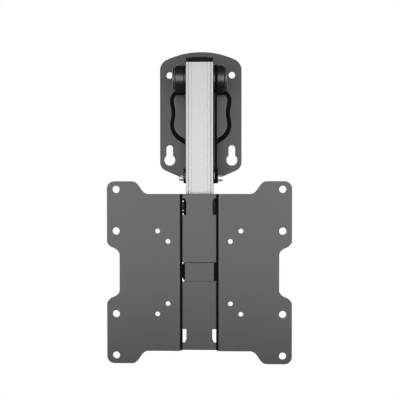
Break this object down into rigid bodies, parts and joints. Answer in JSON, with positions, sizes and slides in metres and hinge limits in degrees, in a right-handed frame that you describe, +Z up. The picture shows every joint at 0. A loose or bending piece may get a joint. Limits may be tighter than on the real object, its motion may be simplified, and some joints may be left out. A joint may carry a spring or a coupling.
{
  "type": "tv mount",
  "caption": "Folding wall mount for a small television: wall plate with a friction hinge, grooved aluminium arm and a tilting screen plate.",
  "frame": {"origin": "midway between the two upper wall screws, on the wall plate's back face", "axes": "+Z up along the mount's length, +Y into the wall, +X to the right seen from the front"},
  "size_m": [0.2222, 0.0673, 0.3857],
  "materials": {
    "black_steel": "satin powder coat with a fine texture",
    "silver_profile": "satin anodised, drawn lines along its length",
    "bright_steel": "zinc plated",
    "black_plastic": "fine moulded grain",
    "disc_fibre": "dry pressed fibre",
    "black_rubber": "matte"
  },
  "bodies": {
    "wall_bracket": {"wall_plate": "black_steel", "hinge_ear_left": "black_steel", "hinge_ear_right": "black_steel", "ear_rivets": "bright_steel", "rest_bumpers": "black_rubber", "hinge_bolt": "black_steel", "hinge_nut": "black_steel", "hinge_drum_left": "black_steel", "hinge_drum_right": "black_steel", "friction_disc_left": "disc_fibre", "friction_disc_right": "disc_fibre", "disc_springs": "bright_steel"},
    "arm": {"arm_profile": "silver_profile", "arm_bracket": "black_steel", "side_plate": "black_steel", "arm_top_cap": "black_plastic", "arm_end_cap": "black_plastic", "hinge_spacer": "bright_steel", "clamp_pad_left": "black_plastic", "clamp_pad_right": "black_plastic", "cross_bolt": "bright_steel", "cross_nut": "bright_steel", "cross_washer": "bright_steel", "cross_spacer": "bright_steel", "guide_bolt": "bright_steel", "guide_nut": "bright_steel", "guide_washers": "bright_steel", "guide_spacer": "bright_steel", "pivot_spacer": "bright_steel"},
    "screen_head": {"screen_plate": "black_steel", "tilt_clevis": "black_steel", "guide_plate_left": "black_steel", "guide_plate_right": "black_steel", "pivot_bolt": "bright_steel", "pivot_nut": "bright_steel", "pivot_washers": "bright_steel", "pivot_shims": "black_plastic"}
  },
  "joints": [
    {"name": "arm_fold", "type": "hinge", "parent": "wall_bracket", "child": "arm", "pos_m": [0, -0.028, -0.0081], "axis": [-1, 0, 0], "range_deg": [0, 90]},
    {"name": "screen_tilt", "type": "hinge", "parent": "arm", "child": "screen_head", "pos_m": [0, -0.034, -0.2463], "axis": [1, 0, 0], "range_deg": [-4, 12]}
  ]
}
